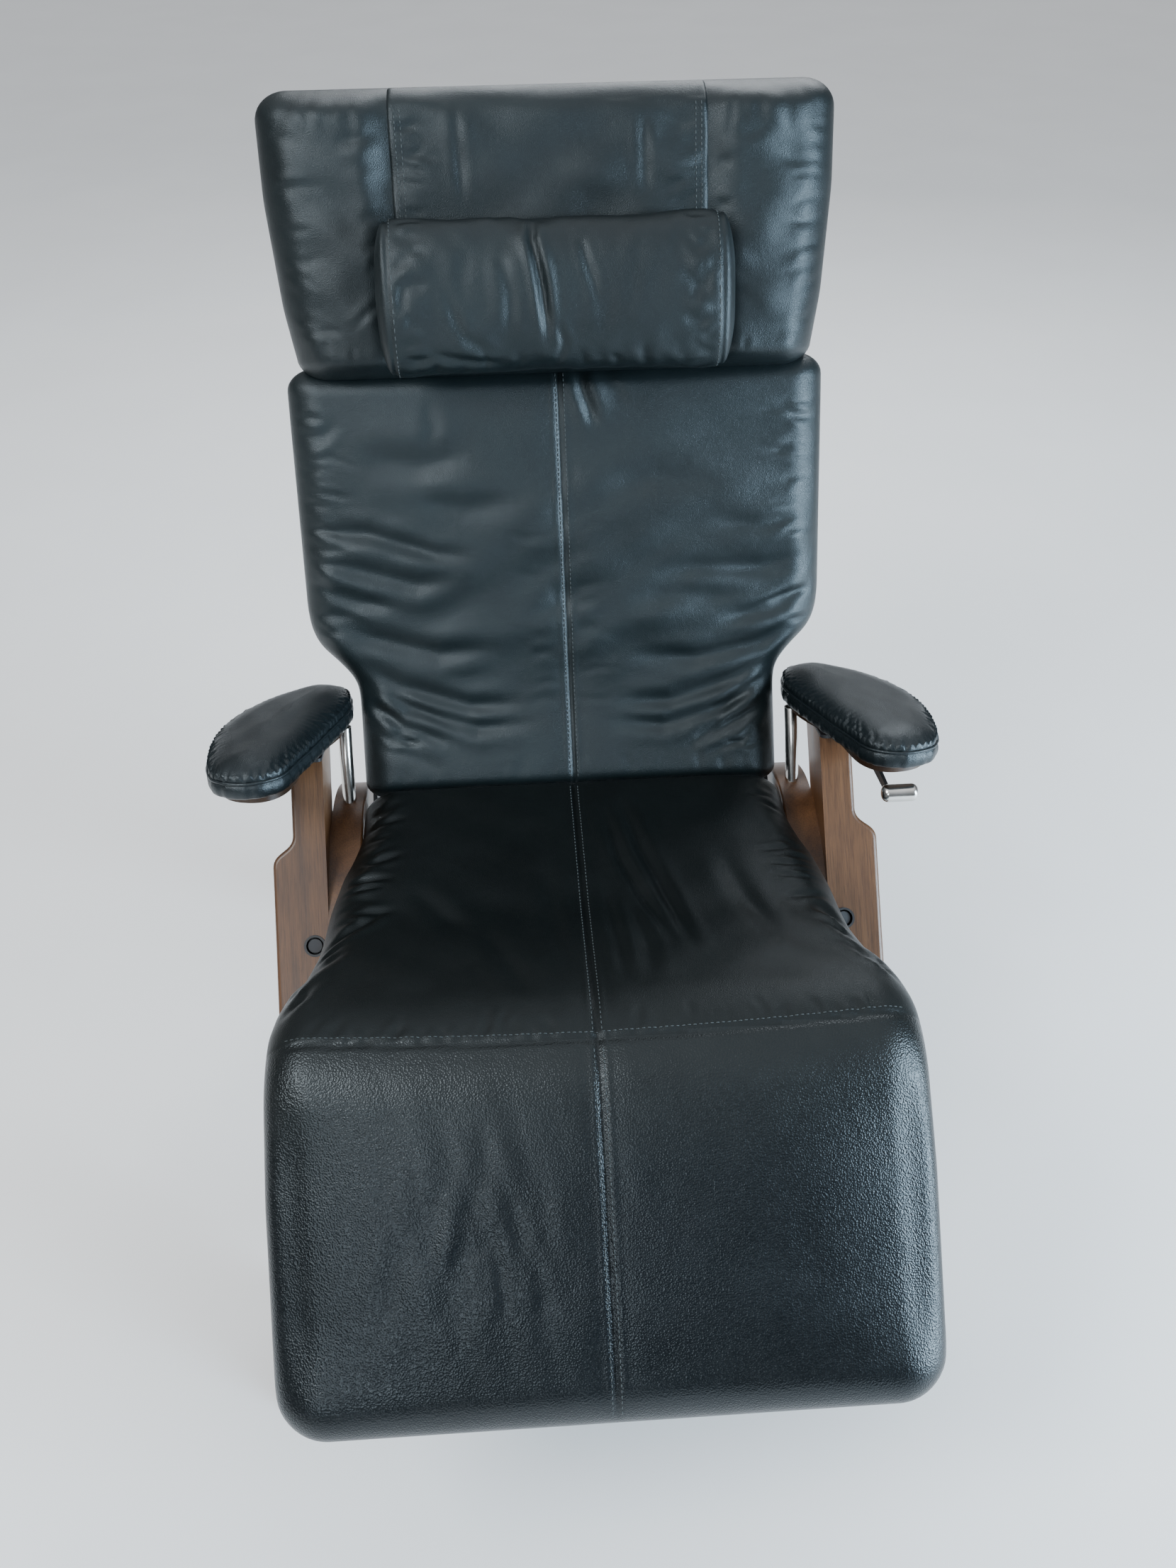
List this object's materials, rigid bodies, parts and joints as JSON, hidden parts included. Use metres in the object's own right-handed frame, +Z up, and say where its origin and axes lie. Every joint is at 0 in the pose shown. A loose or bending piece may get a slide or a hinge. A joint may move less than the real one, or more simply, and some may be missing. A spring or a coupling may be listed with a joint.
{
  "type": "zero gravity recliner",
  "caption": "Recliner with leather pads on a tipping steel frame pivoted between raked wooden side frames, with padded armrests, a hinged back, a sliding head pillow and a release lever.",
  "frame": {"origin": "on the floor, under the middle of the upright chair", "axes": "+X to the sitter's left, the side of the release lever; -Y out of the front; +Z up"},
  "size_m": [0.804, 1.0458, 1.1821],
  "materials": {
    "walnut": "satin oiled, long grain",
    "plywood": "raw",
    "pad_leather": "soft pebbled, low sheen",
    "nickel": "satin nickel",
    "black_steel": "black powder coat",
    "bright_steel": "zinc plated",
    "black_plastic": "moulded, matt",
    "brown_plastic": "moulded, matt, wood coloured",
    "rubber": "dull",
    "webbing": "woven elastic"
  },
  "bodies": {
    "base": {"left_front_leg": "walnut", "right_front_leg": "walnut", "left_rear_leg": "walnut", "right_rear_leg": "walnut", "front_stretcher": "walnut", "rear_stretcher": "walnut", "left_arm_tube": "nickel", "right_arm_tube": "nickel", "lap_bolts": "bright_steel", "stretcher_bolts": "bright_steel", "bolt_caps": "brown_plastic", "floor_glides": "black_plastic", "left_pivot_pin": "bright_steel", "right_pivot_pin": "bright_steel", "pivot_spacers": "bright_steel", "leg_cups": "black_plastic", "leg_plugs": "rubber", "left_arm_pad": "pad_leather", "right_arm_pad": "pad_leather", "left_arm_board": "plywood", "right_arm_board": "plywood", "left_arm_plate": "black_steel", "right_arm_plate": "black_steel", "lever_bracket": "black_steel", "lever_pin": "bright_steel"},
    "lever": {"lever_arm": "black_steel", "lever_knob": "nickel"},
    "seat": {"left_seat_rail": "black_steel", "right_seat_rail": "black_steel", "left_seat_plate": "black_steel", "right_seat_plate": "black_steel", "pivot_bushes": "black_plastic", "calf_cross_tube": "black_steel", "knee_cross_tube": "black_steel", "rear_cross_tube": "black_steel", "calf_straps": "webbing", "seat_straps": "webbing", "calf_end_plugs": "black_plastic", "seat_and_calf_pad": "pad_leather", "left_hinge_pin": "bright_steel", "right_hinge_pin": "bright_steel"},
    "back": {"left_back_rail": "black_steel", "right_back_rail": "black_steel", "left_back_plate": "black_steel", "right_back_plate": "black_steel", "lower_cross_tube": "black_steel", "upper_cross_tube": "black_steel", "back_straps": "webbing", "back_end_plugs": "black_plastic", "back_pad": "pad_leather", "head_pad": "pad_leather", "pillow_flap": "pad_leather"},
    "pillow": {"pillow": "pad_leather"},
    "counterweight": {"counterweight": "pad_leather"}
  },
  "joints": [
    {"name": "recline", "type": "hinge", "parent": "base", "child": "seat", "pos_m": [0, 0.098, 0.392], "axis": [-1, 0, 0], "range_deg": [0, 28]},
    {"name": "back_recline", "type": "hinge", "parent": "seat", "child": "back", "pos_m": [0, 0.198, 0.409], "axis": [-1, 0, 0], "range_deg": [0, 17]},
    {"name": "release_lever", "type": "hinge", "parent": "base", "child": "lever", "pos_m": [0.342, 0.112, 0.534], "axis": [-1, 0, 0], "range_deg": [0, 11], "stiffness_Nm_per_rad": 1.5, "springref_deg": -22.92},
    {"name": "pillow_slide", "type": "slide", "parent": "back", "child": "pillow", "axis": [0, 0.3491, 0.9371], "range_m": [-0.03, 0.03]},
    {"name": "counterweight_slide", "type": "slide", "parent": "back", "child": "counterweight", "axis": [0, 0.3491, 0.9371], "range_m": [-0.03, 0.03]}
  ],
  "couplings": [
    {"joint": "back_recline", "follows": "recline", "ratio": 0.6},
    {"joint": "counterweight_slide", "follows": "pillow_slide", "ratio": -1}
  ]
}
